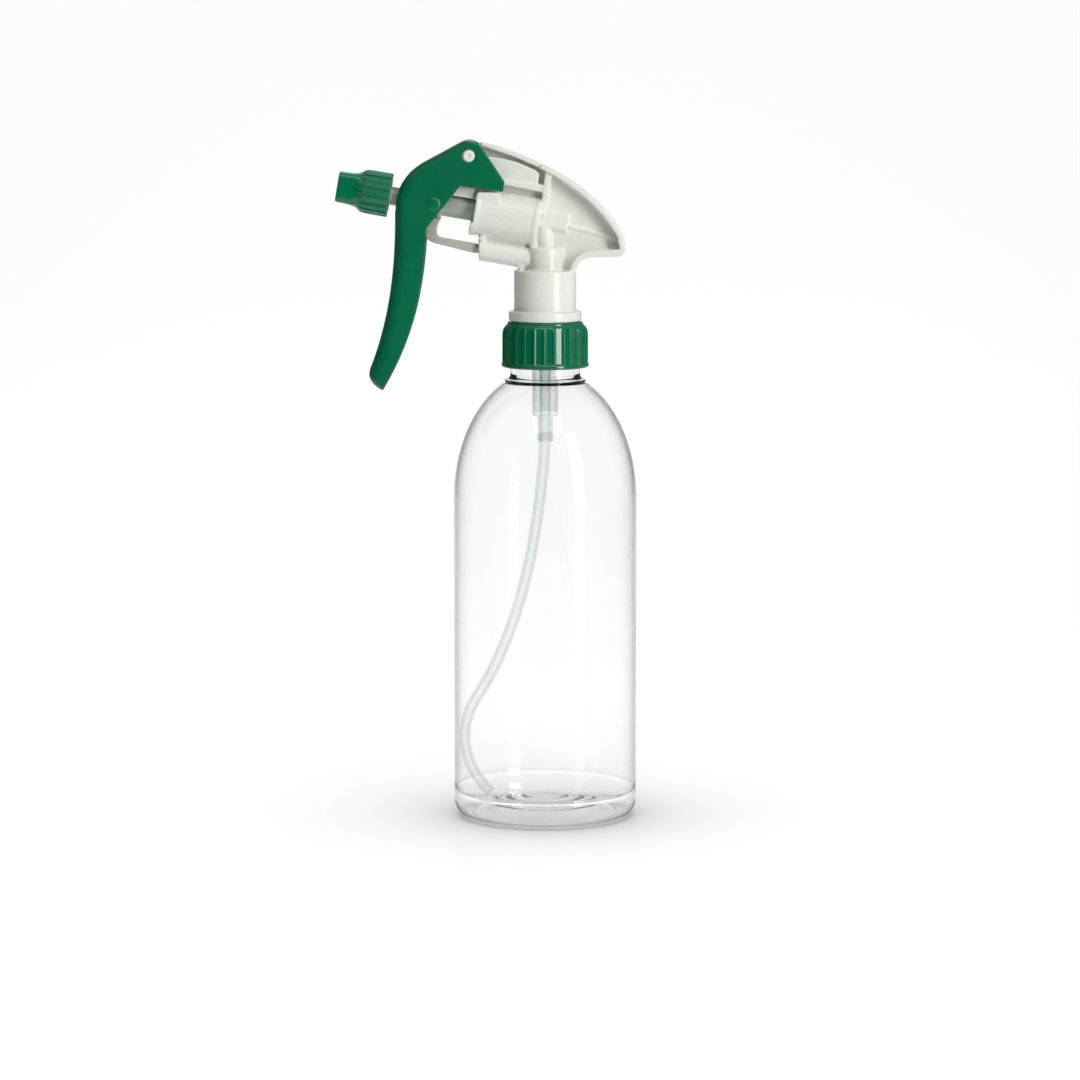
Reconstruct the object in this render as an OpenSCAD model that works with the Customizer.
// Trigger spray bottle: clear round bottle with a domed shoulder, screwed
// closure ring and a trigger head whose nozzle rides on the piston rod.
// Millimetres, +Z up, origin at the centre of the bottle's resting face.
// The nozzle points to -X, the front. The pump barrel is tilted nose up by head_tilt.

/* [Bottle] */
// Outside diameter of the straight body
bottle_d = 67; // [65:0.5:70]
// Height of the neck rim above the resting face
bottle_h = 177.6; // [170:0.2:190]
// Wall thickness of the blown body
bottle_wall = 0.7; // [0.6:0.1:1.0]
// Vertical semi-axis of the domed shoulder
shoulder_rise = 47.5; // [44:0.5:50]
// Height of the push-up in the base
pushup_h = 6; // [4:0.5:7]

/* [Neck finish] */
// Diameter over the neck thread
thread_d = 27.4; // [27:0.1:27.6]
// Diameter of the neck wall under the thread
neck_d = 25.6; // [25.2:0.1:25.8]
// Bore of the neck
neck_bore_d = 21.6; // [20:0.2:22]
// Axial pitch of the neck thread
thread_pitch = 4.233; // [4:0.001:4.4]

/* [Closure] */
// Diameter over the closure's flared lower rim
closure_d = 32; // [31.6:0.1:33]
// Number of grip ribs round the closure
closure_ribs = 26; // [18:1:32]

/* [Pump] */
// Tilt of the pump barrel, nose up
head_tilt = 10; // [9:0.5:11]
// Outside diameter of the pump barrel
barrel_d = 17.4; // [17:0.2:18]
// Bore of the pump barrel
barrel_bore_d = 14; // [13.8:0.1:14.2]
// Diameter of the piston rod
rod_d = 8; // [7.8:0.1:8]
// Radial play of the piston in its bore
piston_play = 0.05; // [0.03:0.01:0.1]

/* [Trigger] */
// Width over the trigger's side plates
trigger_w = 16; // [15.6:0.2:17]
// Clear width between the side plates
trigger_gap = 12.4; // [12.2:0.1:12.6]
// Thickness of the trigger's front wall
trigger_wall = 2; // [1.6:0.1:2.4]
// Diameter of the pivot pin
pivot_d = 4.4; // [4.2:0.1:4.6]

/* [Nozzle] */
// Diameter over the nozzle's grip ribs
nozzle_d = 16; // [15.6:0.1:16.6]
// Number of grip ribs round the nozzle
nozzle_ribs = 18; // [12:1:24]
// Diameter of the spray orifice
orifice_d = 0.9; // [0.6:0.1:1.2]

/* [Tube] */
// Outside diameter of the dip tube
tube_d = 4.2; // [4:0.1:4.3]
// Bore of the dip tube
tube_bore_d = 2.9; // [2.5:0.1:3]

/* [Hidden] */
$fn = 64;

rim_z = bottle_h;       // datum of everything above the bottle
thread_start = -9.2;    // neck thread, from the rim
gasket_h = 1.1;
flange_r = 12.9;        // gasket and the insert flange on it
socket_end = -39.3;     // lower end of the dip tube's socket, from the rim
port_x = -8;            // small upright port beside the riser

// pump axis, under the trigger pivot: [x, z]
pump_origin = [-30.96, rim_z + 45.84];
pivot_up = 19.35;       // pivot above the pump axis
pivot = pump_origin + pivot_up * [sin(head_tilt), cos(head_tilt)];

// stations along the pump axis
mouth = 4.6;
barrel_end = 28.2;
bore_end = 26.4;
pin_at = -9.5;          // rod's drive pins
rod_end = 12.6;
vent_drop = 13.4;       // vent tube below the pump axis

// ---- curves: lists of points ----
function bezier(p, t) =
    (1-t)*(1-t)*(1-t)*p[0] + 3*(1-t)*(1-t)*t*p[1] + 3*(1-t)*t*t*p[2] + t*t*t*p[3];
// n steps along a Bezier curve, from parameter t0 to t1
function curve(p, n, t0 = 0, t1 = 1) = [for (i = [0:n]) bezier(p, t0 + (t1-t0)*i/n)];
function arc(centre, r, a0, a1, n) =
    [for (i = [0:n]) let (a = a0 + (a1-a0)*i/n) centre + r*[cos(a), sin(a)]];
function reverse(v) = [for (i = [len(v)-1:-1:0]) v[i]];
function rest(v) = [for (i = [1:len(v)-1]) v[i]];
function tangent(p, i) = let (v = p[min(i+1, len(p)-1)] - p[max(i-1, 0)]) v/norm(v);
// path moved to its right by d0 at its start, changing to d1 at its end
function beside(path, d0, d1) = [for (i = [0:len(path)-1])
    let (t = tangent(path, i)) path[i] + (d0 + (d1-d0)*i/(len(path)-1))*[t[1], -t[0]]];
function ribbon(path, d0, d1) = concat(path, reverse(beside(path, d0, d1)));

// ---- frames ----
module at_rim() translate([0, 0, rim_z]) children();
module at_pivot() translate([pivot[0], 0, pivot[1]]) children();
// pump frame: +X runs back along the barrel, +Z up and square to it
module pump() translate([pump_origin[0], 0, pump_origin[1]]) rotate([0, head_tilt, 0]) children();
// turns a shape built along +Z to run back from station x
module along(x) translate([x, 0, 0]) rotate([0, 90, 0]) children();

// ---- shared shapes ----
// outline drawn in X,Z, centred on the middle plane
module plate(outline, thick)
    rotate([90, 0, 0]) linear_extrude(thick, center = true) polygon(outline);
// round bar along X from station x0 to x1
module bar(x0, x1, r, end_r = undef)
    along(x0) cylinder(h = x1-x0, r1 = r, r2 = is_undef(end_r) ? r : end_r);
// coaxial bars; rows are [from, to, radius]
module bars(rows) for (row = rows) bar(row[0], row[1], row[2]);
// upright coaxial cylinders; rows are [z, height, radius]
module stack(rows) for (row = rows) translate([0, 0, row[0]]) cylinder(h = row[1], r = row[2]);
// round bar along Y, centred
module cross_bar(length, r) rotate([90, 0, 0]) cylinder(h = length, r = r, center = true);

// solid skinned over equal rings of points; flip turns the faces over
module loft(rings, flip = false) {
    n = len(rings[0]);
    last = len(rings) - 1;
    faces = concat([[for (k = [0:n-1]) k]],
        [for (i = [0:last-1]) for (k = [0:n-1])
            let (a = i*n + k, b = i*n + (k+1)%n) each [[a, a+n, b+n], [a, b+n, b]]],
        [[for (k = [n-1:-1:0]) last*n + k]]);
    polyhedron([for (ring = rings) each ring],
        flip ? [for (face = faces) reverse(face)] : faces, convexity = 12);
}
// round section of n corners along a path in the middle plane
module sweep(path, r, n) loft([for (i = [0:len(path)-1])
    let (t = tangent(path, i), c = cross(t, [0, 1, 0]), u = c/norm(c), v = cross(t, u))
    [for (k = [0:n-1]) path[i] + r*(cos(360*k/n)*u + sin(360*k/n)*v)]]);
// coil spring along +Z from 0, with one closed turn at each end
module coil(outer_r, wire, turns, length) {
    corners = 8;
    per_turn = 20;
    steps = turns*per_turn;
    end = 1/turns;              // share of the path in an end turn
    closed_rise = wire*1.02;
    travel = length - wire;
    loft([for (i = [0:steps])
        let (a = 360*i/per_turn, u = i/steps, z = wire/2 + (
            u < end ? u*turns*closed_rise
            : u > 1-end ? travel - (1-u)*turns*closed_rise
            : closed_rise + (u-end)/(1-2*end)*(travel - 2*closed_rise)))
        [for (k = [0:corners-1])
            let (b = 360*k/corners, r = outer_r - wire/2 + wire/2*cos(b))
            [r*cos(a), r*sin(a), z + wire/2*sin(b)]]], flip = true);
}
// helical ridge from angle a0 to a1, fading at both ends; half widths along Z
module thread(root_r, crest_r, root_half, crest_half, z0, a0, a1) {
    step = 12;
    steps = round((a1-a0)/step);
    loft([for (i = [0:steps])
        let (a = a0 + i*step, z = z0 + thread_pitch*a/360,
             r = root_r + (crest_r-root_r)*min(1, min(i, steps-i)/3 + 0.15))
        [for (p = [[root_r, -root_half], [r, -crest_half], [r, crest_half], [root_r, root_half]])
            [p[0]*cos(a), p[0]*sin(a), z + p[1]]]], flip = crest_r > root_r);
}

// ---- bottle ----
body_r = bottle_d/2;
body_in_r = body_r - bottle_wall;
dome_z = rim_z - 12.6 - shoulder_rise;  // where the dome starts
pushup_k = pushup_h/6;                  // scale of the base's relief

// quarter-ellipse shoulder from the body up to angle a1
function dome(r, rise, a1) =
    [for (i = [0:20]) [r*cos(a1*i/20), dome_z + rise*sin(a1*i/20)]];

// bottle profiles: [radius, z]
base_outer = concat([[0, pushup_h]],
    [for (p = [[5.8, 5.8], [6.2, 5.1], [7, 5.1], [7.4, 5.6], [11.2, 5.3], [11.6, 4.4],
               [12.6, 4.4], [13, 5], [18, 4.2], [22, 3], [24.5, 1.6], [26.5, 0]])
        [p[0], p[1]*pushup_k]]);
base_inner = [[26.2, 1.1 + 0.6*pushup_k], [23.2, 4*pushup_k], [18, 4.2*pushup_k + 1.5],
              [11.5, 5.3*pushup_k + 1.5], [0, pushup_h + 1.4]];
body_bead = [[body_r, 9.5], [body_r + 0.12, 9.9], [body_r, 10.3]];
neck_outer = [[14.2, rim_z-17.6], [14.8, rim_z-17.3], [14.8, rim_z-16.4], [13.4, rim_z-15.8],
              [neck_d/2, rim_z-15.2], [neck_d/2, rim_z-0.5], [neck_d/2-0.5, rim_z]];
neck_inner = [[neck_bore_d/2+0.3, rim_z], [neck_bore_d/2, rim_z-0.3]];

module bottle() color([0.93, 0.95, 0.96, 0.35]) {
    outer_end = asin((shoulder_rise - 5.7)/shoulder_rise);
    inner_end = acos(neck_bore_d/2/body_in_r);
    rotate_extrude() polygon(concat(
        base_outer,
        arc([body_r-5.5, 5.5], 5.5, -90, 0, 8),
        body_bead,
        dome(body_r, shoulder_rise, outer_end),
        neck_outer,
        neck_inner,
        reverse(dome(body_in_r, shoulder_rise - bottle_wall, inner_end)),
        reverse(arc([body_in_r-5, 5.8], 5, -90, 0, 8)),
        base_inner));
    thread(neck_d/2-0.15, thread_d/2, 1.15, 0.5, rim_z + thread_start, 0, 540);
}

module bottle_gasket() color([0.9, 0.9, 0.88]) at_rim() difference() {
    cylinder(h = gasket_h, r = flange_r);
    translate([0, 0, -1]) cylinder(h = 4, r = neck_bore_d/2-0.4);
}

// ---- closure ----
closure_r = closure_d/2;
// closure profile from the rim: [radius, z], outside then inside
closure_skirt = [[closure_r-0.5, -11.9], [closure_r, -11.5], [closure_r, -10.4],
                 [closure_r-0.7, -9.8], [closure_r-0.8, -1.3]];
closure_inside = [[13.9, 4.4], [13.6, 4.7], [12.2, 4.7], [12.2, 2.9], [13.3, 2.9],
                  [13.3, -0.6], [14.1, -1.2], [14.1, -11.5], [14.4, -11.9]];

module closure_cap() color([0.03, 0.45, 0.33]) at_rim() {
    rotate_extrude() polygon(concat(
        closure_skirt, arc([closure_r-4.8, -0.6], 4, 0, 42, 6), closure_inside));
    for (i = [0:closure_ribs-1]) rotate([0, 0, 360*(i+0.4)/closure_ribs])
        translate([closure_r-1.6, -0.45, -10.6]) cube([1.25, 0.9, 10.2]);
    // runs half a pitch from the neck thread
    thread(14.3, 13.05, 0.95, 0.42, thread_start + thread_pitch/2, -150, 270);
}

// ---- head housing ----
// outlines from the pivot: [x, z]
tail = [[4.5, 4.7], [27.7, -1.4], [48, -12.8], [56.9, -30.7]];  // Bezier control points
tail_corner = arc([53.8, -33.4], 3.1, 50, -90, 7);
tail_underside = concat([[48, -36.6], [44.4, -36.7]], arc([44.4, -42.4], 5.7, 96, 180, 6));
web = concat([[-2.4, -2], [-6.6, -8], [-7.6, -13.2], [2.5, -20], [5, -30], [20, -36],
              [22, -41.7]],
             reverse(concat(curve(tail, 20), tail_corner, tail_underside)), [[0.6, 2.2]]);
upright_rib = [[27.7, -5], [30.1, -6.4], [28.6, -15.6], [27.3, -21.5], [25, -21.5],
               [26.3, -15.6]];
raised_panel = [[6.5, -0.4], [12, -1], [17.4, -2.4], [24.4, -5.4], [25.5, -6.7],
                [24.9, -10.4], [6.5, -9]];
panel_rail = [[6.5, -8.3], [13.7, -9.1], [26.4, -10.4], [26.8, -13.3], [13.7, -10.7],
              [6.5, -9.7]];
web_line = [[36.5, -25.3], [54, -29.7], [53.8, -30.6], [36.3, -26.3]];
rest_stop = [[2.6, -13.1], [11.3, -13.1], [11.3, -16.5], [2.6, -16.5]];
// from the pump origin: cuts the vent tube's front face back towards the bottom
vent_face_cut = [[8, -8], [8.5, -9.6], [10.2, -18.5], [8, -18.5]];
// small round lands beside the vent tube: [x, z, length]
lands = [[9.9, -9.2, 8.4], [25.3, -16.7, 6.6], [28.4, -8.2, 8]];

// collar, trapping ring, sleeve and riser, with the port beside the riser
module housing_column() {
    stack([[2.85, 2.4, 12], [4.9, 3.5, 13.3], [8.2, 15.1, 11.3], [23, 8.6, 6.75],
           [31, 9.4, 2.9]]);
    translate([port_x, 0, 22]) cylinder(h = 5, r = 1.9);
}

// middle web, its flange and the raised details on it
module housing_shell() {
    plate(web, 2.4);
    plate(ribbon(curve(tail, 8, 0, 0.34), 1.3, 1.5), 10.4);
    plate(ribbon(concat(curve(tail, 14, 0.33, 1), tail_corner), 1.5, 2.6), 12.4);
    plate(ribbon(concat([[53.8, -36.5]], tail_underside), 2.6, 2.2), 12.4);
    cross_bar(11.4, 3.5);
    plate(upright_rib, 10.6);
    plate(raised_panel, 8.6);
    plate(panel_rail, 10);
    plate(web_line, 3.3);
    plate(rest_stop, 15);   // under the trigger's wing
}

module housing_barrel() {
    bars([[mouth, mouth+2.2, barrel_d/2+0.25],
          [mouth+2, barrel_end, barrel_d/2],
          [barrel_end-1, barrel_end+0.6, barrel_d/2+0.3],
          [barrel_end-1, 39.5, 2.9]]);
    // block above the rod, ahead of the mouth
    translate([-6, -4.4, rod_d/2+0.25]) cube([mouth+6.3, 8.8, 7.7]);
    translate([barrel_end-1, -2.7, 0.6]) cube([12.6, 5.4, 4.2]);
    // vent tube and the rib joining it to the barrel
    difference() {
        translate([0, 0, -vent_drop]) bar(8.5, 27.8, 4.2);
        plate(vent_face_cut, 10);
    }
    translate([9.7, -1.6, -vent_drop]) cube([17, 3.2, 7]);
    for (land = lands) translate([land[0], 0, land[1]]) cross_bar(land[2], 1.3);
}

// hollows of the column: ring-shaped lower cavity, insert socket, riser bore and port
module column_cuts() {
    difference() {
        cylinder(h = 21.3, r = 9.6);
        translate([0, 0, 11]) cylinder(h = 12, r = 6.4);
    }
    cylinder(h = 18.4, r = 4.45);
    cylinder(h = 40.4, r = 1.5);
    // crossed slots over the socket
    for (a = [0, 90]) rotate([0, 0, a]) translate([-3.2, -0.5, 18]) cube([6.4, 1, 1]);
    translate([port_x, 0, 20]) cylinder(h = 8, r = 0.8);
}

module barrel_cuts() {
    bars([[mouth+0.65, bore_end, barrel_bore_d/2],
          [-30, mouth+1, rod_d/2+0.2],
          [bore_end-1, 31.7, 1.5]]);
    // the mouth's face is set back beside and above the rod, leaving a lower lip
    for (s = [-1, 1]) translate([mouth-0.3, s*6-4, -4.2]) cube([1.1, 8, 14]);
    translate([0, 0, -vent_drop]) bar(8, 26, 2.6);
}

module housing() color([0.9, 0.9, 0.87]) difference() {
    union() {
        at_rim() housing_column();
        at_pivot() housing_shell();
        pump() housing_barrel();
    }
    at_rim() column_cuts();
    at_pivot() cross_bar(20, pivot_d/2+0.02);
    pump() barrel_cuts();
}

module cylinder_bushing() color([0.85, 0.85, 0.82]) pump() difference() {
    bar(mouth+0.75, 7.9, barrel_bore_d/2-0.02);
    bar(mouth-1, 9, rod_d/2+0.05);
}

module pivot_pin() color([0.88, 0.89, 0.88]) at_pivot() cross_bar(trigger_w+0.6, pivot_d/2);

// ---- intake ----
module intake_insert() color([0.85, 0.88, 0.9, 0.6]) at_rim() difference() {
    union() {
        // flange, valve tower, lower body and tube socket
        stack([[gasket_h, 1.75, flange_r], [2, 16.35, 4.4], [-30, 32, 4.65],
               [socket_end, 10, 2.8]]);
        // upstanding ring
        translate([0, 0, 2]) difference() {
            cylinder(h = 4.6, r = 9.55);
            translate([0, 0, 0.85]) cylinder(h = 5, r = 8.3);
        }
    }
    // tube socket, passage and ball chamber
    stack([[-40, 32.4, tube_d/2+0.02], [-10, 24.4, 1.6], [13.4, 6, 2.7]]);
    translate([7, 0, 0]) cylinder(h = 5, r = 0.7);
}

// dip tube: straight in its socket, then bowed to the base's front corner
// Bezier control points: [x, y, z]
tube_joint = [-25.4, 0, rim_z-134.3];
upper_bow = [[0, 0, rim_z+socket_end], [-2.4, 0, rim_z-77.6], [-9.9, 0, rim_z-111], tube_joint];
lower_bow = [tube_joint, [-32.1, 0, rim_z-144.3], [-31.7, 0, rim_z-158.7],
             [-20.2, 0, rim_z-169.7]];

module dip_tube() color([0.9, 0.92, 0.92, 0.6]) {
    line = concat([[0, 0, rim_z-7.7], [0, 0, rim_z-34]], curve(upper_bow, 22),
                  rest(curve(lower_bow, 16)));
    last = len(line) - 1;
    // runs past both ends
    bore_line = concat([line[0] + [0, 0, 1]], rest(line), [line[last] + 2*tangent(line, last)]);
    difference() {
        sweep(line, tube_d/2, 20);
        sweep(bore_line, tube_bore_d/2, 16);
    }
}

module suction_ball() color([0.75, 0.76, 0.78]) at_rim() translate([0, 0, 14.93]) sphere(r = 2.2);

// ---- trigger ----
hub_r = 5.6;
// Bezier control points from the pivot: [x, z]
trigger_top = [[-15.9, -2.2], [-23.5, -6.3], [-26.8, -11.8], [-26.8, -20.5]];
trigger_front = [[-26.8, -20.5], [-26.8, -40.5], [-28.8, -58.8], [-36.2, -77.5]];
trigger_toe = [[-36.2, -77.5], [-37.4, -81], [-34.9, -83.5], [-31.8, -85.2]];
trigger_back = [[-31.3, -84.8], [-19.8, -66], [-16.3, -48], [-15.2, -26]];
trigger_wing = [[-3.2, -11], [12.4, -13], [13, -9.4]];
front_line = concat(curve(trigger_top, 8), rest(curve(trigger_front, 14)));

// drive pin slots, measured from the pivot and swung to face the pins
slot_swing = atan(-pin_at/pivot_up);
slot_x = -0.1;
slot_z = [-21.8, -19.2];    // centres of the round ends
slot_r = 2.05;
slot_depth = 1.8;

module trigger_body() difference() {
    union() {
        plate(concat(arc([0, 0], hub_r, 33.7, 118.3, 8), front_line, rest(curve(trigger_toe, 5)),
            curve(trigger_back, 14), trigger_wing), trigger_w);
        // shallow boss over each drive pin
        rotate([0, head_tilt, 0]) translate([pin_at, 0, -pivot_up])
            cross_bar(trigger_w+0.9, 2.2);
    }
    // channel between the side plates, open to the back
    plate(concat([[30, 12], [3.4, 10]], arc([0, 0], hub_r-trigger_wall+0.1, 66, 118.3, 5),
        beside(front_line, -trigger_wall, -trigger_wall), [[-33.4, -79.6], [30, -79.6]]),
        trigger_gap);
    cross_bar(trigger_w+2, pivot_d/2+0.06);
}

module pin_slot() {
    for (z = slot_z) translate([slot_x, 0, z]) cross_bar(slot_depth, slot_r);
    translate([slot_x-slot_r, -slot_depth/2, slot_z[0]])
        cube([2*slot_r, slot_depth, slot_z[1]-slot_z[0]]);
}

module trigger() color([0.02, 0.44, 0.3]) difference() {
    at_pivot() trigger_body();
    pump() {
        // window the rod passes through, and the blind slots for its drive pins
        translate([-30, -4.3, -4.9]) cube([22, 8.6, 18.4]);
        for (s = [-1, 1]) translate([0, s*(trigger_gap/2+0.6), pivot_up])
            rotate([0, slot_swing, 0]) pin_slot();
    }
}

// ---- piston group ----
module piston_rod() color([0.75, 0.78, 0.75]) pump() difference() {
    union() {
        bars([[-37.8, -34, 3], [-34.2, -27, 5.2], [-27.2, -15, 3.35], [-15.2, rod_end, rod_d/2]]);
        for (s = [-1, 1]) translate([pin_at, s*5.4, 0]) cross_bar(4, 1.7);
    }
    bars([[-24, 13, 1.6], [-38, -24, 2.25]]);
}

module piston_cup() color([0.93, 0.93, 0.9]) pump() difference() {
    bar(8.2, 15.6, barrel_bore_d/2-piston_play);
    bars([[8, rod_end+0.01, rod_d/2+0.01], [10.2, 16, 5.7]]);
}

// arm outline from the pump origin: [x, z]; front and back are Bezier control points
arm_front = [[-8, -4.7], [-12, -8], [-12.2, -13.4], [-7.2, -14.1]];
arm_back = [[-5, -11.7], [-7.2, -11.5], [-7.4, -8.6], [-6.1, -4.7]];
arm = concat([[-6.1, -4.4], [-7.7, -4.4]], curve(arm_front, 8),
             [[8, -15.2], [8, -11.7], [-4.2, -11.7]], curve(arm_back, 6));

// arm from the rod's underside that carries the vent seal in the lower tube
module vent_plunger() color([0.9, 0.9, 0.87]) pump() difference() {
    union() {
        bar(-7.7, -6.1, rod_d/2+1.5);
        plate(arm, 3.4);
        translate([0, 0, -vent_drop]) bars([[7.6, 14, 1.7], [11.6, 14, 2.5]]);
    }
    bar(-12, -2, rod_d/2+0.01);
    // opens the clip at the top
    translate([-9, -8, 2.4]) cube([5, 16, 6]);
}

module return_spring() color([0.7, 0.71, 0.73]) pump()
    along(10.25) coil(outer_r = 5.5, wire = 0.8, turns = 6, length = bore_end-10.3);

module discharge_ball() color([0.8, 0.8, 0.8]) pump() translate([-25.06, 0, 0]) sphere(r = 1.9);

module discharge_spring() color([0.7, 0.71, 0.73]) pump()
    along(-33.2) coil(outer_r = 1.75, wire = 0.35, turns = 6, length = 6.2);

// ---- nozzle ----
module swirl_core() color([0.9, 0.9, 0.88]) pump() difference() {
    bars([[-37.85, -33.3, 2.2], [-42.2, -37.85, 3.05]]);
    for (a = [0:120:240]) rotate([a, 0, 0]) translate([-43, -0.5, 1.7]) cube([10, 1, 2]);
    bar(-43, -41.6, 1.2);
}

module nozzle_cap() color([0.03, 0.38, 0.25]) pump() difference() {
    sleeve_r = nozzle_d/2 - 0.5;
    union() {
        bar(-35.8, -25.6, sleeve_r);
        for (i = [0:nozzle_ribs-1]) rotate([360*i/nozzle_ribs, 0, 0])
            translate([-35.4, -0.6, nozzle_d/2-1]) cube([9.8, 1.2, 1]);
        bar(-38, -35.8, 6.1, sleeve_r);
        // square nose with rounded corners
        intersection() {
            translate([-45, -5.8, -5.8]) cube([7.6, 11.6, 11.6]);
            bar(-46, -37, 7.3);
        }
    }
    // stepped bore from the back, the orifice and its front recess
    bars([[-34.6, -25, 5.75], [-39.5, -34, 4.25], [-42.8, -39, 3.3],
          [-46, -42, orifice_d/2], [-46, -44.2, 2.4]]);
}

module nozzle_seal_ring() color([0.15, 0.15, 0.16]) pump() along(-36.4)
    rotate_extrude() translate([3.64, 0]) circle(r = 0.57, $fn = 24);

bottle();
bottle_gasket();
closure_cap();
housing();
cylinder_bushing();
pivot_pin();
intake_insert();
dip_tube();
suction_ball();
trigger();
piston_rod();
piston_cup();
vent_plunger();
return_spring();
discharge_ball();
discharge_spring();
swirl_core();
nozzle_cap();
nozzle_seal_ring();
